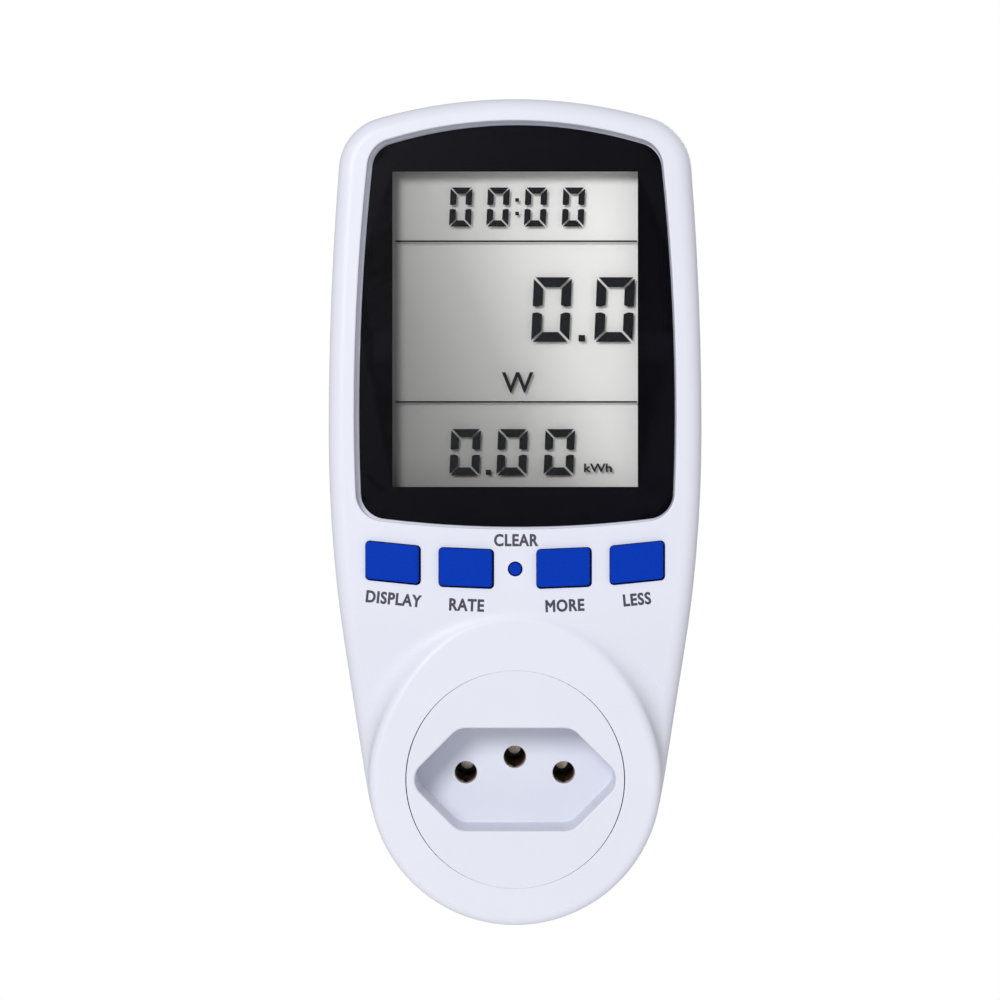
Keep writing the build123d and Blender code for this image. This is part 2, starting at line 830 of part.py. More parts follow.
# ------------------------------------------------------------------ socket contacts
with BuildPart() as contact_block:
    with BuildSketch(at(block_rear_h)):
        add(hexagon(block_half_apex, block_half_height, block_corner))
    extrude(amount=block_front_h - block_rear_h)
    with BuildSketch(at(block_ear_h)):
        Rectangle(2 * ear_reach, 2 * ear_half_height)
        Circle(ear_reach, mode=Mode.INTERSECT)
    extrude(amount=ear_thick)
    with BuildSketch(at(block_rear_h)):
        with Locations(*pins.values()):
            Circle(sleeve_radius + block_play)
    extrude(amount=block_front_h - block_rear_h, mode=Mode.SUBTRACT)
    with BuildSketch(at(block_front_h)):
        with Locations(*pins.values()):
            Circle(sleeve_radius + clip_thick + block_play)
    extrude(amount=-sleeve_slot_length, mode=Mode.SUBTRACT)
    with BuildSketch(at(block_ear_h)):
        with Locations(both_sides((ear_screw_x, 0))):
            Circle(small_clear)
    extrude(amount=ear_thick, mode=Mode.SUBTRACT)

save(contact_block, "contact_block")

sleeve_front_h = block_front_h - 0.1
clip_h = sleeve_front_h - 3.0
for name, (x, z) in pins.items():
    tail_z = z - (sleeve_radius + sleeve_bore) / 2
    with BuildPart() as contact:
        with BuildSketch(at(sleeve_rear_h)):
            with Locations((x, z)):
                Circle(sleeve_radius)
        extrude(amount=sleeve_front_h - sleeve_rear_h)
        with BuildSketch(at(power_board_back_h - 0.1)):
            with Locations((x, tail_z)):
                Rectangle(tail_width, tail_thick)
        extrude(amount=sleeve_rear_h + 1 - power_board_back_h + 0.1)
        with BuildSketch(at(sleeve_rear_h)):
            with Locations((x, z)):
                Circle(sleeve_bore)
        extrude(amount=sleeve_front_h - sleeve_rear_h, mode=Mode.SUBTRACT)
        with BuildSketch(at(sleeve_front_h)):
            with Locations((x, z)):
                Rectangle(sleeve_slot, 2 * sleeve_radius + 1)
        extrude(amount=-sleeve_slot_length, mode=Mode.SUBTRACT)
    save(contact, f"{name}_contact")

with BuildPart() as sleeve_clips:
    with BuildSketch(at(clip_h)):
        with Locations(*pins.values()):
            Circle(sleeve_radius + clip_thick)
            Circle(sleeve_radius, mode=Mode.SUBTRACT)
        for x, z in pins.values():
            with Locations((x, z - sleeve_radius)):
                Rectangle(1.2, 2.4, mode=Mode.SUBTRACT)
    extrude(amount=clip_length)

save(sleeve_clips, "sleeve_clips")

# ------------------------------------------------------------------ plug
with BuildPart() as plug_base:
    with BuildSketch(at(0)):
        add(boss())
    extrude(amount=plug_top_h)
    fillet(plug_base.faces().sort_by(Axis.Y)[-1].edges(), boss_edge)
    with BuildSketch(at(inner_back_h + 0.05)):
        add(boss(1.5))
    extrude(amount=2.0)
    with BuildSketch(at(plug_ear_h)):
        Rectangle(2 * ear_reach, 2 * ear_half_height)
        Circle(ear_reach, mode=Mode.INTERSECT)
    extrude(amount=ear_thick)
    with BuildSketch(at(plug_ear_h)):
        with Locations(both_sides((ear_screw_x, 0))):
            Circle(small_clear)
    extrude(amount=ear_thick, mode=Mode.SUBTRACT)
    with BuildSketch(at(0)):
        with Locations(*pins.values()):
            Circle(pin_neck_radius)
    extrude(amount=plug_top_h, mode=Mode.SUBTRACT)
    with BuildSketch(at(0)):
        with Locations(*pins.values()):
            Circle(pin_radius + pin_relief_gap)
    extrude(amount=pin_relief, mode=Mode.SUBTRACT)

save(plug_base, "plug_base")

for name, (x, z) in pins.items():
    with BuildPart() as pin:
        with BuildSketch(at(-pin_length)):
            with Locations((x, z)):
                Circle(pin_radius)
        extrude(amount=pin_length)
        fillet(pin.faces().sort_by(Axis.Y)[-1].edges(), pin_tip_round)
        with BuildSketch(at(0)):
            with Locations((x, z)):
                Circle(pin_neck_radius)
        extrude(amount=plug_top_h)
        with BuildSketch(at(plug_top_h)):
            with Locations((x, z)):
                Circle(pin_tail_radius)
        extrude(amount=power_board_h + 1.2 - plug_top_h)
    save(pin, f"{name}_pin")

# ------------------------------------------------------------------ power board and its parts
with BuildPart() as power_pcb:
    with BuildSketch(at(power_board_back_h)):
        board_height = power_board_top_z - power_board_foot_z
        board_middle = (power_board_top_z + power_board_foot_z) / 2
        add(centred(2 * power_board_half, board_height, board_middle, power_board_corner))
        with Locations(*pins.values()):
            Circle(pin_tail_radius + 0.1, mode=Mode.SUBTRACT)
        for x, z in pins.values():
            with Locations((x, z - (sleeve_radius + sleeve_bore) / 2)):
                Rectangle(tail_width + 0.2, tail_thick + 0.2, mode=Mode.SUBTRACT)
        with Locations(both_sides(power_screw)):
            Circle(small_clear, mode=Mode.SUBTRACT)
        with Locations((0, 33.2)):
            with GridLocations(2.54, 1, 6, 1):
                Circle(0.5, mode=Mode.SUBTRACT)
    extrude(amount=board_thick)

save(power_pcb, "power_pcb")


def standing_box(width, height, z, x, tall, edge):
    with BuildPart() as piece:
        with BuildSketch(at(power_board_h)):
            with Locations((x, z)):
                Rectangle(width, height)
        extrude(amount=tall)
        fillet(piece.edges().filter_by(Axis.Y) + piece.faces().sort_by(Axis.Y)[0].edges(), edge)
    return piece


save(standing_box(18.0, 7.0, 40.5, 0.0, 13.0, 0.6), "x2_capacitor")
save(standing_box(10.0, 7.6, 25.0, 0.0, 2.4, 0.2), "meter_chip")

with BuildPart() as smoothing_capacitor:
    with BuildSketch(at(power_board_h)):
        with Locations((-13.5, 27.0)):
            Circle(4.0)
    extrude(amount=11.5)
    fillet(smoothing_capacitor.faces().sort_by(Axis.Y)[0].edges(), 0.5)

save(smoothing_capacitor, "smoothing_capacitor")

with BuildPart() as varistor:
    with BuildSketch(Plane((13.0, -power_board_h - 6.6, 24.5), x_dir=(1, 0, 0), z_dir=(0, 0, 1))):
        Circle(5.0)
    extrude(amount=4.0)
    fillet(varistor.edges(), 1.2)
    with BuildSketch(at(power_board_h)):
        with Locations((10.8, 26.5), (15.2, 26.5)):
            Circle(0.4)
    extrude(amount=3.4)

save(varistor, "varistor")

with BuildPart() as shunt:
    with BuildSketch(at(power_board_h)):
        with Locations((-11.0, 14.0), (5.0, 14.0)):
            Rectangle(1.2, 5.0)
    extrude(amount=4.2)
    with BuildSketch(at(power_board_h + 3.0)):
        with Locations((-3.0, 14.0)):
            Rectangle(16.0, 5.0)
    extrude(amount=1.2)

save(shunt, "shunt")

with BuildPart() as diodes:
    for column in range(4):
        with BuildSketch(Plane((10.0 + 2.6 * column, -power_board_h - 1.35, 12.0), z_dir=(0, 0, 1))):
            Circle(1.0)
        extrude(amount=4.2)

save(diodes, "diodes")

with BuildPart() as board_link_pins:
    with BuildSketch(at(power_board_back_h - 0.4)):
        with Locations((0, 33.2)):
            with GridLocations(2.54, 1, 6, 1):
                Circle(0.4)
    extrude(amount=display_board_h + 0.6 - power_board_back_h + 0.4)

save(board_link_pins, "board_link_pins")

with BuildPart() as board_link_block:
    with BuildSketch(at(power_board_h)):
        with Locations((0, 33.2)):
            Rectangle(6 * 2.54, 2.5)
            with GridLocations(2.54, 1, 6, 1):
                Circle(0.4, mode=Mode.SUBTRACT)
    extrude(amount=8.5)

save(board_link_block, "board_link_block")

# ------------------------------------------------------------------ back-up battery
cell_radius = 7.4
cell_thick = 5.6
battery_h = display_inner_h + 8.3
battery_z = 92.0
for place, name in ((-1, "left_cell"), (0, "middle_cell"), (1, "right_cell")):
    with BuildPart() as cell:
        cell_face = Plane(
            (place * (cell_thick + 0.1) - cell_thick / 2, -battery_h, battery_z),
            x_dir=(0, 1, 0),
            z_dir=(1, 0, 0),
        )
        with BuildSketch(cell_face):
            Circle(cell_radius)
        extrude(amount=cell_thick)
        fillet(cell.edges(), 0.5)
    save(cell, name)

with BuildPart() as battery_sleeve:
    sleeve_half = 1.5 * cell_thick + 0.6
    with BuildSketch(Plane((-sleeve_half, -battery_h, battery_z), x_dir=(0, 1, 0), z_dir=(1, 0, 0))):
        Circle(cell_radius + 0.35)
        Circle(cell_radius + 0.05, mode=Mode.SUBTRACT)
    extrude(amount=2 * sleeve_half)

save(battery_sleeve, "battery_sleeve")

with BuildPart() as battery_pad:
    with BuildSketch(Plane((-8.0, -battery_h, battery_z), x_dir=(0, 1, 0), z_dir=(1, 0, 0))):
        with Locations(((battery_h - display_inner_h) / 2, 0)):
            Rectangle(battery_h - display_inner_h, 10.0)
        Circle(cell_radius + 0.35, mode=Mode.SUBTRACT)
    extrude(amount=16.0)

save(battery_pad, "battery_pad")


# ------------------------------------------------------------------ screws
def screws(spots, seat_h, towards_face, radius, length, head_radius, head_height):
    """Pan-head screws with a cross recess. The head sits at seat_h, on the side away from
    where the shank points."""
    way = 1 if towards_face else -1
    with BuildPart() as group:
        with BuildSketch(at(seat_h)):
            with Locations(*spots):
                Circle(radius)
        extrude(amount=way * length)
        with BuildSketch(at(seat_h)):
            with Locations(*spots):
                Circle(head_radius)
        extrude(amount=-way * head_height)
        heads = group.faces().filter_by(Axis.Y).sort_by(Axis.Y)
        tops = heads[-len(spots):] if towards_face else heads[: len(spots)]
        fillet([face.edges()[0] for face in tops], head_height * 0.45)
        with BuildSketch(at(seat_h - way * head_height)):
            with Locations(*spots):
                Rectangle(head_radius * 1.1, head_radius * 0.24)
                Rectangle(head_radius * 0.24, head_radius * 1.1)
        extrude(amount=way * head_height * 0.55, mode=Mode.SUBTRACT)
    return group


case_spots = both_sides(case_screw_top) + both_sides(case_screw_low)
case_screws = screws(
    case_spots, screw_seat_h, True, screw_radius, parting_h + screw_length - 1 - screw_seat_h,
    screw_head_radius, screw_head_height,
)
save(case_screws, "case_screws")

display_spots = both_sides(display_screw_top) + both_sides(display_screw_low)
display_screws = screws(
    display_spots, display_board_back_h, True, small_screw_radius, 7.0, small_head_radius, small_head_height
)
save(display_screws, "display_screws")

insert_screws = screws(
    both_sides((ear_screw_x, 0)), block_ear_h, True, small_screw_radius, 10.5,
    small_head_radius, small_head_height,
)
save(insert_screws, "insert_screws")

plug_screws = screws(
    both_sides((ear_screw_x, 0)), plug_top_h, False, small_screw_radius, 6.0,
    small_head_radius, small_head_height,
)
save(plug_screws, "plug_screws")

power_screws = screws(
    both_sides(power_screw), power_board_h, False, small_screw_radius, 6.0,
    small_head_radius, small_head_height,
)
save(power_screws, "power_screws")
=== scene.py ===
import math

import bmesh
import bpy
from mathutils import Matrix, Vector
from mathutils.bvhtree import BVHTree


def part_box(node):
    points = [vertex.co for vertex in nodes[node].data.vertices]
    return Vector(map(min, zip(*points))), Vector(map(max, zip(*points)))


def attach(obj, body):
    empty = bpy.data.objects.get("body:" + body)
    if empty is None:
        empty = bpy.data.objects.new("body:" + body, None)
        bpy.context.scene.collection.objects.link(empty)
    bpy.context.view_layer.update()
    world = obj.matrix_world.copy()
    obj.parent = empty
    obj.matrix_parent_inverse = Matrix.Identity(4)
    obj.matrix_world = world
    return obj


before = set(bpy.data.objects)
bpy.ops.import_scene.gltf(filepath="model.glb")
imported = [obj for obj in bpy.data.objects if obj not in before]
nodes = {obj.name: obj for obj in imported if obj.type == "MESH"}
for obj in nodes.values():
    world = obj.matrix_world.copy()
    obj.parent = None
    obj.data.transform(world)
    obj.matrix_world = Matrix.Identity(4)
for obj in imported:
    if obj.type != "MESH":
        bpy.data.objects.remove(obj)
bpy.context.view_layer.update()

mm = 0.001
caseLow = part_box("front_case")[0]
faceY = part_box("socket_insert")[0][1]  # the plane of the face, nearest the viewer


# camera, square on to the face and a little above its middle
camera = {
    "distance": 444.0, "left": 2.875, "up": 52.9,  # mm from the face and from the frame's middle
    "sensor": 36.0, "lens": 84.492,  # mm, a picture as wide as it is tall
    "nearest": 0.01,
}

camData = bpy.data.cameras.new("camera")
camData.sensor_width = camera["sensor"]
camData.lens = camera["lens"]
camData.clip_start = camera["nearest"]
camObj = bpy.data.objects.new("camera", camData)
camObj.location = (-camera["left"] * mm, faceY - camera["distance"] * mm, camera["up"] * mm)
camObj.rotation_euler = (math.radians(90), 0, 0)
bpy.context.collection.objects.link(camObj)
bpy.context.scene.camera = camObj


# soft studio light: a broad key at the upper left, a weak fill, a soft back light and a pale room
studio = {  # metres and watts
    "aimAt": (0.0, faceY, 0.05),
    "room": 0.42, "backdrop": 1.0,
    "keyWatts": 6.2, "keySize": 0.36, "keyAt": (-0.32, -0.98, 0.36),
    "fillWatts": 0.5, "fillSize": 0.7, "fillAt": (0.65, -0.6, 0.1),
    "backWatts": 2.6, "backSize": 0.6, "backAt": (0.5, 0.9, 0.6),
    "floorDrop": 0.12, "floorRadius": 0.42, "floorSides": 96,
    "clearSurfaces": 32,  # how many clear surfaces a line of sight may cross
}


def areaLight(name, where, watts, size):
    light = bpy.data.lights.new(name, "AREA")
    light.energy = watts
    light.shape = "DISK"
    light.size = size
    obj = bpy.data.objects.new(name, light)
    obj.location = where
    aim = Vector(studio["aimAt"]) - Vector(where)
    obj.rotation_euler = aim.to_track_quat("-Z", "Y").to_euler()
    bpy.context.collection.objects.link(obj)


areaLight("keyLight", studio["keyAt"], studio["keyWatts"], studio["keySize"])
areaLight("fillLight", studio["fillAt"], studio["fillWatts"], studio["fillSize"])
areaLight("backLight", studio["backAt"], studio["backWatts"], studio["backSize"])

room = bpy.data.worlds.new("room")
bpy.context.scene.world = room
room.use_nodes = True
roomTree = room.node_tree
glow = roomTree.nodes["Background"]
glow.inputs["Color"].default_value = (1.0, 1.0, 1.0, 1)
glow.inputs["Strength"].default_value = studio["room"]
backdrop = roomTree.nodes.new("ShaderNodeBackground")  # what is seen behind the object
backdrop.inputs["Strength"].default_value = studio["backdrop"]
backdrop.inputs["Color"].default_value = (1.0, 1.0, 1.0, 1)
seen = roomTree.nodes.new("ShaderNodeLightPath")
choose = roomTree.nodes.new("ShaderNodeMixShader")
roomTree.links.new(seen.outputs["Is Camera Ray"], choose.inputs["Fac"])
roomTree.links.new(glow.outputs["Background"], choose.inputs[1])
roomTree.links.new(backdrop.outputs["Background"], choose.inputs[2])
roomTree.links.new(choose.outputs["Shader"], roomTree.nodes["World Output"].inputs["Surface"])
bpy.context.scene.view_settings.view_transform = "Standard"
bpy.context.scene.cycles.transparent_max_bounces = studio["clearSurfaces"]

floorMesh = bpy.data.meshes.new("floor")
floorZ, sides = caseLow[2] - studio["floorDrop"], studio["floorSides"]
turns = [2 * math.pi * step / sides for step in range(sides)]
reach = studio["floorRadius"]
rim = [(math.cos(turn) * reach, math.sin(turn) * reach, floorZ) for turn in turns]
floorMesh.from_pydata(rim, [], [tuple(range(sides))])
floor = bpy.data.objects.new("floor", floorMesh)
bpy.context.collection.objects.link(floor)
print("camera, light and floor are set")


# material building blocks
class Graph:
    def __init__(self, name):
        self.mat = bpy.data.materials.new(name)
        self.mat.use_nodes = True
        self.tree = self.mat.node_tree
        self.shader = self.tree.nodes["Principled BSDF"]
        self.output = self.tree.nodes["Material Output"]

    def node(self, kind, **settings):
        made = self.tree.nodes.new("ShaderNode" + kind)
        for key, value in settings.items():
            setattr(made, key, value)
        return made

    def link(self, a, b):
        self.tree.links.new(a, b)

    def place(self):
        return self.node("TexCoord").outputs["Object"]

    def noise(self, scale, detail=3.0, rough=0.55):
        tex = self.node("TexNoise")
        tex.inputs["Scale"].default_value = scale
        tex.inputs["Detail"].default_value = detail
        tex.inputs["Roughness"].default_value = rough
        self.link(self.place(), tex.inputs["Vector"])
        return tex.outputs["Fac"]

    def ramp(self, fac, stops):
        ramp = self.node("ValToRGB")
        while len(ramp.color_ramp.elements) < len(stops):
            ramp.color_ramp.elements.new(0.5)
        for element, (at, colour) in zip(ramp.color_ramp.elements, stops):
            element.position = at
            element.color = (*colour, 1) if len(colour) == 3 else colour
        self.link(fac, ramp.inputs["Fac"])
        return ramp.outputs["Color"]

    def spread(self, fac, low, high):
        remap = self.node("MapRange")
        remap.inputs["From Min"].default_value = 0.25
        remap.inputs["From Max"].default_value = 0.75
        remap.inputs["To Min"].default_value = low
        remap.inputs["To Max"].default_value = high
        self.link(fac, remap.inputs["Value"])
        return remap.outputs["Result"]

    def bump(self, height, depth, under=None):
        bump = self.node("Bump")
        bump.inputs["Strength"].default_value = 1.0
        bump.inputs["Distance"].default_value = depth
        self.link(height, bump.inputs["Height"])
        if under is not None:
            self.link(under, bump.inputs["Normal"])
        return bump.outputs["Normal"]


def tinted(colour, factor):
    return tuple(min(1.0, channel * factor) for channel in colour)


def moulded(name, look):
    g = Graph(name)
    colour = look["colour"]
    patch = g.noise(look.get("patchScale", 45), 4)
    shade = look.get("patchDepth", 0.02)
    stops = [(0.3, tinted(colour, 1 - shade)), (0.66, tinted(colour, 1 + shade))]
    if look.get("grainColour"):  # the odd lighter grain in the plastic
        stops.append((0.74, look["grainColour"]))
    g.link(g.ramp(patch, stops), g.shader.inputs["Base Color"])
    rough = look["roughness"]
    g.link(
        g.spread(g.noise(look.get("sheenScale", 120), 3), rough - 0.04, rough + 0.05),
        g.shader.inputs["Roughness"],
    )
    swell = g.bump(g.noise(look.get("swellScale", 90), 1), look.get("swellDepth", 0.00001))
    grain = g.bump(g.noise(look["grainScale"], 2, 0.6), look["grainDepth"], swell)
    g.link(grain, g.shader.inputs["Normal"])
    g.shader.inputs["Specular IOR Level"].default_value = look.get("specular", 0.5)
    if look.get("ownLight"):
        g.shader.inputs["Emission Color"].default_value = (1, 1, 1, 1)
        g.shader.inputs["Emission Strength"].default_value = look["ownLight"]
    return g.mat


def metal(name, look):
    g = Graph(name)
    colour = look["colour"]
    g.shader.inputs["Metallic"].default_value = 1.0
    g.link(
        g.ramp(g.noise(400, 4), [(0.35, tinted(colour, 0.82)), (0.7, colour)]),
        g.shader.inputs["Base Color"],
    )
    sheen = g.spread(g.noise(900, 3), look["roughness"] - 0.07, look["roughness"] + 0.1)
    g.link(sheen, g.shader.inputs["Roughness"])
    stretch = g.node("Mapping")  # draws the noise out into fine turning lines
    stretch.inputs["Scale"].default_value = (1, 6, 1)
    g.link(g.place(), stretch.inputs["Vector"])
    lines = g.node("TexNoise")
    lines.inputs["Scale"].default_value = 1500
    g.link(stretch.outputs["Vector"], lines.inputs["Vector"])
    g.link(g.bump(lines.outputs["Fac"], 0.000006), g.shader.inputs["Normal"])
    return g.mat


def clearSheet(name, look):
    g = Graph(name)
    through = g.node("BsdfTransparent")
    through.inputs["Color"].default_value = (*look["tint"], 1)
    gloss = g.node("BsdfGlossy")
    gloss.inputs["Color"].default_value = (1, 1, 1, 1)
    sheen = g.spread(g.noise(260, 3), look["roughness"], look["roughness"] + 0.04)
    g.link(sheen, gloss.inputs["Roughness"])
    edge = g.node("Fresnel")
    edge.inputs["IOR"].default_value = look["ior"]
    outside = g.node("Math", operation="SUBTRACT")  # the inner side only lets light through
    outside.inputs[0].default_value = 1.0
    g.link(g.node("NewGeometry").outputs["Backfacing"], outside.inputs[1])
    share = g.node("Math", operation="MULTIPLY")
    g.link(edge.outputs["Fac"], share.inputs[0])
    g.link(outside.outputs["Value"], share.inputs[1])
    mix = g.node("MixShader")
    g.link(share.outputs["Value"], mix.inputs["Fac"])
    g.link(through.outputs["BSDF"], mix.inputs[1])
    g.link(gloss.outputs["BSDF"], mix.inputs[2])
    g.link(mix.outputs["Shader"], g.output.inputs["Surface"])
    g.tree.nodes.remove(g.shader)
    return g.mat


# painted reflection: the display film is a grey that gets lighter across the display and, less so, up it,
# standing in for its glare
def paintedSheenFilm(name, look):
    g = Graph(name)
    split = g.node("SeparateXYZ")
    g.link(g.place(), split.inputs["Vector"])
    low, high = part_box("lcd_reflector")
    shares = {}
    for axis, index in (("X", 0), ("Z", 2)):
        share = g.node("MapRange")
        share.inputs["From Min"].default_value = low[index]
        share.inputs["From Max"].default_value = high[index]
        g.link(split.outputs[axis], share.inputs["Value"])
        shares[axis] = share.outputs["Result"]
    lift = g.node("Math", operation="MULTIPLY")
    lift.inputs[1].default_value = look["rise"]
    g.link(shares["Z"], lift.inputs[0])
    total = g.node("Math", operation="ADD")
    g.link(shares["X"], total.inputs[0])
    g.link(lift.outputs["Value"], total.inputs[1])
    spent = g.node("Math", operation="DIVIDE")
    spent.inputs[1].default_value = 1 + look["rise"]
    g.link(total.outputs["Value"], spent.inputs[0])
    g.link(g.ramp(spent.outputs["Value"], look["stops"]), g.shader.inputs["Base Color"])
    g.link(g.spread(g.noise(3000, 2), 0.5, 0.62), g.shader.inputs["Roughness"])
    g.link(g.bump(g.noise(5000, 2), 0.000004), g.shader.inputs["Normal"])
    return g.mat


def paint(material, *names):
    for name in names:
        obj = nodes[name]
        obj.data.materials.clear()
        obj.data.materials.append(material)


# the white case, the socket insert and the plug boss; depths and swells are in metres
caseLook = {
    "colour": (0.74, 0.76, 0.85), "roughness": 0.40, "grainScale": 2600, "grainDepth": 0.000004,
    "patchDepth": 0.008, "swellScale": 60, "swellDepth": 0.000012, "specular": 0.32,
}
insertLook = {**caseLook, "colour": (0.73, 0.75, 0.835), "roughness": 0.42}
whiteCase = moulded("whiteCase", caseLook)
whiteInsert = moulded("whiteInsert", insertLook)
paint(whiteCase, "front_case", "rear_case")
paint(whiteInsert, "socket_insert", "plug_base")

# the keys
keyLook = {
    "colour": (0.0015, 0.037, 0.42), "roughness": 0.5, "grainScale": 5200, "grainDepth": 0.000018,
    "patchDepth": 0.14, "patchScale": 3600, "specular": 0.03, "grainColour": (0.012, 0.075, 0.58),
}
blueKey = moulded("blueKey", keyLook)
keyNames = ("function", "cost", "up", "down", "reset")
paint(blueKey, *(f"{key}_key" for key in keyNames))

# window and display
windowLook = {"tint": (0.985, 0.985, 0.99), "roughness": 0.02, "ior": 1.08}
glassLook = {"tint": (0.985, 0.985, 0.98), "roughness": 0.05, "ior": 1.03}
maskLook = {
    "colour": (0.0022, 0.002, 0.0045), "roughness": 0.35, "grainScale": 4000, "grainDepth": 0.000002,
    "patchDepth": 0.2, "specular": 0.05,
}
# the display film's grey gradient is painted reflection, not the film's own colour
paintedSheenFilmLook = {
    "rise": 0.55,
    "stops": [  # painted reflection, from dark at the lower left to light at the upper right
        (0.0, (0.17, 0.17, 0.17)), (0.25, (0.31, 0.31, 0.31)), (0.42, (0.46, 0.46, 0.46)),
        (0.62, (0.80, 0.80, 0.80)), (0.82, (0.96, 0.96, 0.96)),
    ],
}
paint(clearSheet("clearWindow", windowLook), "window_lens")
paint(clearSheet("displayGlass", glassLook), "lcd_front_glass", "lcd_rear_glass")
blackPrint = moulded("blackPrint", maskLook)
paint(blackPrint, "window_mask")
paint(paintedSheenFilm("paintedSheenFilm", paintedSheenFilmLook), "lcd_reflector")

# what is inside and behind: colour, roughness, grain size and grain depth
insideLooks = {
    "blackFoam": ((0.02, 0.02, 0.022), 0.9, 3500, 0.00005),
    "whiteHolder": ((0.7, 0.7, 0.68), 0.5, 2500, 0.00001),
    "pinkRubber": ((0.5, 0.24, 0.26), 0.7, 4000, 0.00001),
    "greenBoard": ((0.015, 0.16, 0.05), 0.3, 1800, 0.00002),
    "blackEpoxy": ((0.012, 0.012, 0.013), 0.55, 3000, 0.00001),
    "yellowBox": ((0.66, 0.5, 0.06), 0.35, 2200, 0.00001),
    "darkSleeve": ((0.02, 0.03, 0.1), 0.25, 2200, 0.00001),
    "blueCoat": ((0.02, 0.1, 0.35), 0.4, 1200, 0.00003),
    "greenFilm": ((0.03, 0.28, 0.12), 0.3, 1500, 0.00002),
}
switchParts = [f"{key}_{part}" for key in keyNames for part in ("switch", "plunger")]
insideNodes = {
    "blackFoam": ["window_tape", "lcd_gasket", "battery_pad"],
    "whiteHolder": ["lcd_holder", "contact_block"],
    "pinkRubber": ["zebra_strip"],
    "greenBoard": ["display_pcb", "power_pcb"],
    "blackEpoxy": ["display_chip", "meter_chip", "board_link_block", "diodes", *switchParts],
    "yellowBox": ["x2_capacitor"],
    "darkSleeve": ["smoothing_capacitor"],
    "blueCoat": ["varistor"],
    "greenFilm": ["battery_sleeve"],
}
lookNames = ("colour", "roughness", "grainScale", "grainDepth")
for name, values in insideLooks.items():
    paint(moulded(name, dict(zip(lookNames, values))), *insideNodes[name])

metalLooks = {
    "brightSteel": {"colour": (0.62, 0.62, 0.63), "roughness": 0.28},
    "plainBrass": {"colour": (0.78, 0.55, 0.24), "roughness": 0.3},
    "contactBrassPaintedShade": {"colour": (0.26, 0.17, 0.09), "roughness": 0.55},  # darkened brass: painted shade inside the socket's holes
    "nickelPlate": {"colour": (0.74, 0.71, 0.66), "roughness": 0.2},
    "shuntAlloy": {"colour": (0.6, 0.38, 0.22), "roughness": 0.38},
}
metalNodes = {
    "brightSteel": [
        "crystal", "case_screws", "display_screws", "insert_screws", "plug_screws", "power_screws",
        "sleeve_clips", "left_cell", "middle_cell", "right_cell",
    ],
    "plainBrass": ["board_link_pins"],
    "contactBrassPaintedShade": ["line_contact", "neutral_contact", "earth_contact"],
    "nickelPlate": ["line_pin", "neutral_pin", "earth_pin"],
    "shuntAlloy": ["shunt"],
}
for name, look in metalLooks.items():
    paint(metal(name, look), *metalNodes[name])
print("materials are on every carried-over piece")


# printed legends: thin ink, laid on the face letter by letter
legends = {  # mm
    "capHeight": 2.38, "narrow": 0.84, "spacing": 1.1, "bold": 0.105,
    "inkLift": 0.02, "inkThick": 0.012, "facet": 0.3, "passes": 8,
    "sharpest": 0.6,  # how far a sharp corner may be drawn out when a stroke is widened
    "words": {  # word, the key it belongs to, offset from the key's middle, tilt in degrees
        "legendDisplay": ("DISPLAY", "function_key", (0.0, -6.8), -5.7),
        "legendRate": ("RATE", "cost_key", (0.0, -7.0), -2.3),
        "legendMore": ("MORE", "up_key", (0.1, -7.1), 2.3),
        "legendLess": ("LESS", "down_key", (-0.1, -6.9), 5.7),
        "legendClear": ("CLEAR", "reset_key", (0.1, 5.45), 0.0),
    },
}
inkLook = {
    "colour": (0.045, 0.045, 0.07), "roughness": 0.5, "grainScale": 6000, "grainDepth": 0.000002,
    "patchDepth": 0.15, "patchScale": 1500,
}
blackInk = moulded("blackInk", inkLook)


# moves the edge of a flat mesh outwards, so every stroke gets wider by twice the amount
def embolden(mesh, amount):
    work = bmesh.new()
    work.from_mesh(mesh)
    bmesh.ops.remove_doubles(work, verts=work.verts, dist=0.001 * mm)
    outward = {}
    for edge in work.edges:
        if len(edge.link_faces) != 1:
            continue
        start, end = edge.verts
        along = (end.co - start.co).normalized()
        out = Vector((-along.z, 0, along.x))
        if out.dot(edge.link_faces[0].calc_center_median() - start.co) > 0:
            out = -out
        for vert in edge.verts:
            outward.setdefault(vert, []).append(out)
    for vert, sides in outward.items():
        aim = sum(sides, Vector()).normalized()
        vert.co += aim * amount / max(legends["sharpest"], aim.dot(sides[0]))
    work.to_mesh(mesh)
    work.free()


# a word in X and Z, centred on the origin
def letters(word, capHeight, wide, bold, spacing=1.0):
    curve = bpy.data.curves.new(word, "FONT")
    curve.body = word
    curve.size = 1.0
    curve.space_character = spacing
    curve.align_x = "CENTER"
    curve.resolution_u = 6
    holder = bpy.data.objects.new(word, curve)
    bpy.context.collection.objects.link(holder)
    bpy.context.view_layer.update()
    mesh = bpy.data.meshes.new_from_object(holder)
    bpy.data.objects.remove(holder)
    ys = [v.co.y for v in mesh.vertices]
    scale = (capHeight - 2 * bold) / (max(ys) - min(ys))
    middle = (max(ys) + min(ys)) / 2
    for v in mesh.vertices:
        v.co = Vector((v.co.x * scale * wide, 0, (v.co.y - middle) * scale))
    embolden(mesh, bold)
    return mesh


# gives a flat mesh its thickness
def inkSheet(name, mesh, thick):
    obj = bpy.data.objects.new(name, mesh)
    bpy.context.collection.objects.link(obj)
    solid = obj.modifiers.new("thickness", "SOLIDIFY")
    solid.thickness = thick
    solid.offset = 0
    return obj


# cuts a flat mesh until no edge is longer than longest
def fineTriangles(mesh, longest):
    work = bmesh.new()
    work.from_mesh(mesh)
    bmesh.ops.triangulate(work, faces=work.faces)
    for _ in range(legends["passes"]):
        long = [edge for edge in work.edges if edge.calc_length() > longest]
        if not long:
            break
        bmesh.ops.subdivide_edges(work, edges=long, cuts=1)
        bmesh.ops.triangulate(work, faces=work.faces)
    work.to_mesh(mesh)
    work.free()


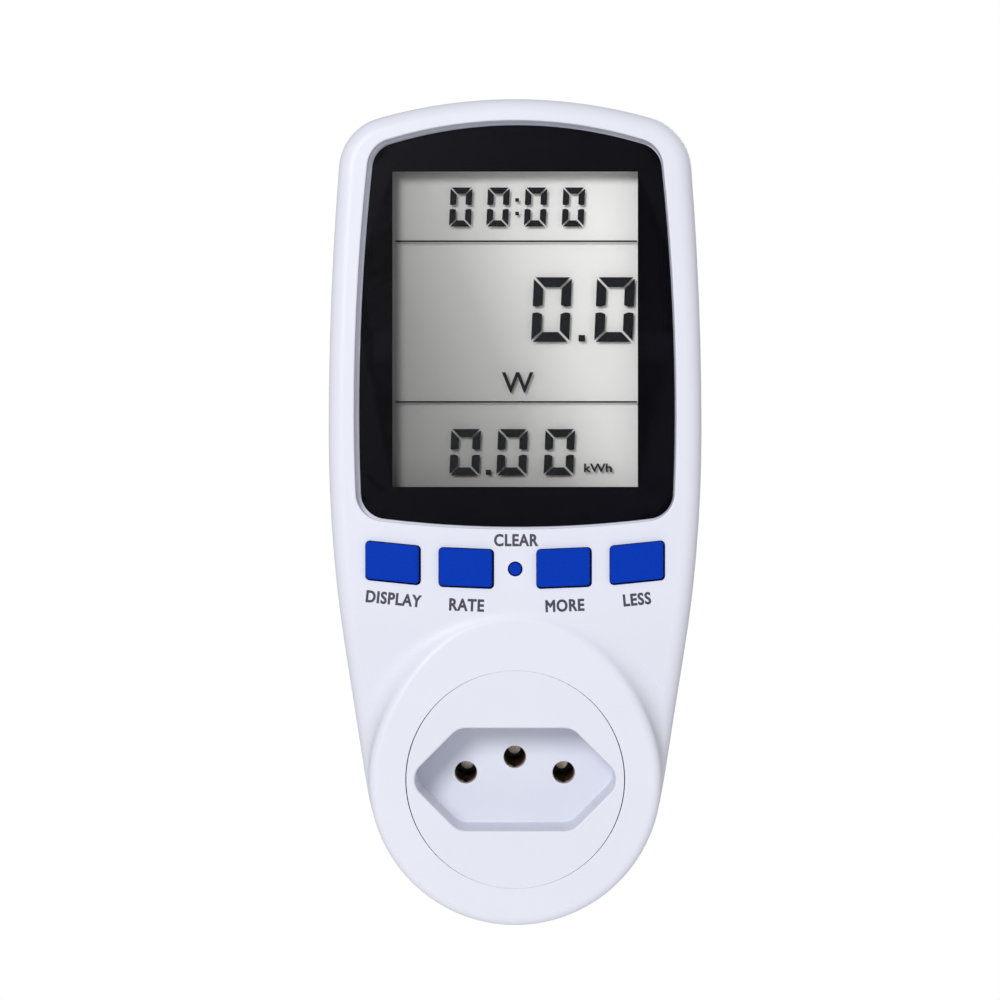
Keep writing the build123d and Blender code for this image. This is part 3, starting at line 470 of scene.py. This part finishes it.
def middleOf(name):
    low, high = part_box(name)
    return (low[0] + high[0]) / 2, (low[2] + high[2]) / 2


front = nodes["front_case"]
faceTree = BVHTree.FromObject(front, bpy.context.evaluated_depsgraph_get())
inFront = faceY - 20 * mm
for name, (word, key, offset, tilt) in legends["words"].items():
    mesh = letters(
        word, legends["capHeight"] * mm, legends["narrow"], legends["bold"] * mm, legends["spacing"]
    )
    fineTriangles(mesh, legends["facet"] * mm)
    turn = Matrix.Rotation(math.radians(-tilt), 4, "Y")
    keyX, keyZ = middleOf(key)
    middle = Vector((keyX + offset[0] * mm, 0, keyZ + offset[1] * mm))
    for v in mesh.vertices:
        spot = turn @ v.co + middle
        hit = faceTree.ray_cast(Vector((spot.x, inFront, spot.z)), Vector((0, 1, 0)))[0]
        v.co = Vector((spot.x, hit.y - legends["inkLift"] * mm, spot.z))
    mesh.materials.append(blackInk)
    piece = inkSheet(name, mesh, legends["inkThick"] * mm)
    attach(piece, "case")
print("legends are printed")


# what the display shows, in the layer between its two glasses; places are from the display's middle
screen = {  # mm
    "thick": 0.02,
    "gap": 0.16,  # between the bars of a digit, as a share of a bar
    "waist": (0.36, 0.27, 0.45),  # half the gap at a digit's middle: outer side, point, inner side
    "lean": 0.045,
    "digits": [  # left edge, foot, width, height, bar
        *[(x, 19.9, 4.2, 7.5, 1.2) for x in (-12.5, -5.35, 1.85, 9.1)],
        *[(x, -2.2, 7.3, 12.4, 1.9) for x in (3.35, 15.45)],
        *[(x, -27.8, 5.7, 8.9, 1.55) for x in (-12.4, -3.4, 5.65)],
    ],
    "dots": [(0.4, 25.0, 0.7), (0.4, 22.4, 0.7), (12.8, -1.5, 1.25), (-5.1, -27.2, 1.0)],
    "rules": [(17.1, 0.32), (-13.7, 0.32)],
    "ruleEnds": (-22.9, 23.4),
    "words": [("W", 0.5, -10.0, 4.0, 1.0), ("kWh", 15.9, -26.35, 1.7, 1.2)],
    "wordBold": 0.06,
}
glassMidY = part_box("lcd_front_glass")[1][1]
screenX, screenZ = middleOf("lcd_reflector")
points, faces = [], []


def flatShape(outline, footZ=None):
    first = len(points)
    for x, z in outline:
        lean = 0 if footZ is None else (z - footZ) * screen["lean"]
        points.append((screenX + (x + lean) * mm, glassMidY, screenZ + z * mm))
    faces.append(tuple(range(first, first + len(outline))))


def rectangle(x0, z0, x1, z1):
    flatShape([(x0, z0), (x1, z0), (x1, z1), (x0, z1)])


# a seven-bar nought, every bar but the middle one, with mitred corners
def zero(x, z, width, height, wide):
    gap = wide * screen["gap"]
    outer, point, inner = (share * wide for share in screen["waist"])
    midX, midZ = x + width / 2, z + height / 2
    halfX, halfZ = width / 2, height / 2
    for up in (-1, 1):
        edgeZ, hollowZ = midZ + up * halfZ, midZ + up * (halfZ - wide)
        flatShape([
            (midX - halfX + gap, edgeZ), (midX + halfX - gap, edgeZ),
            (midX + halfX - wide - gap, hollowZ), (midX - halfX + wide + gap, hollowZ),
        ], midZ)
        for side in (-1, 1):
            outX, inX = midX + side * halfX, midX + side * (halfX - wide)
            flatShape([
                (outX, midZ + up * (halfZ - gap)), (inX, midZ + up * (halfZ - wide - gap)),
                (inX, midZ + up * inner), ((outX + inX) / 2, midZ + up * point),
                (outX, midZ + up * outer),
            ], midZ)


for digit in screen["digits"]:
    zero(*digit)
for x, z, size in screen["dots"]:
    rectangle(x - size / 2, z - size / 2, x + size / 2, z + size / 2)
for z, wide in screen["rules"]:
    rectangle(screen["ruleEnds"][0], z - wide / 2, screen["ruleEnds"][1], z + wide / 2)
segmentMesh = bpy.data.meshes.new("lcdSegments")
segmentMesh.from_pydata(points, [], faces)
segmentLook = {
    "colour": (0.012, 0.013, 0.015), "roughness": 0.6, "grainScale": 4000, "grainDepth": 0.000002,
    "patchDepth": 0.1, "patchScale": 700, "specular": 0.1,
}
lcdInk = moulded("lcdInk", segmentLook)
segmentMesh.materials.append(lcdInk)
screenPieces = [inkSheet("lcdSegments", segmentMesh, screen["thick"] * mm)]
for number, (word, x, z, tall, wide) in enumerate(screen["words"]):
    mesh = letters(word, tall * mm, wide, screen["wordBold"] * mm)
    for v in mesh.vertices:
        v.co += Vector((screenX + x * mm, glassMidY, screenZ + z * mm))
    mesh.materials.append(lcdInk)
    screenPieces.append(inkSheet(f"lcdUnit{number + 1}", mesh, screen["thick"] * mm))
for piece in screenPieces:
    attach(piece, "case")
print("display segments are in place")


# floor finish
floorLook = {
    "colour": (0.9, 0.9, 0.9), "roughness": 0.8, "grainScale": 300, "grainDepth": 0.00001, "ownLight": 0.1,
}
floorMesh.materials.append(moulded("paleFloor", floorLook))
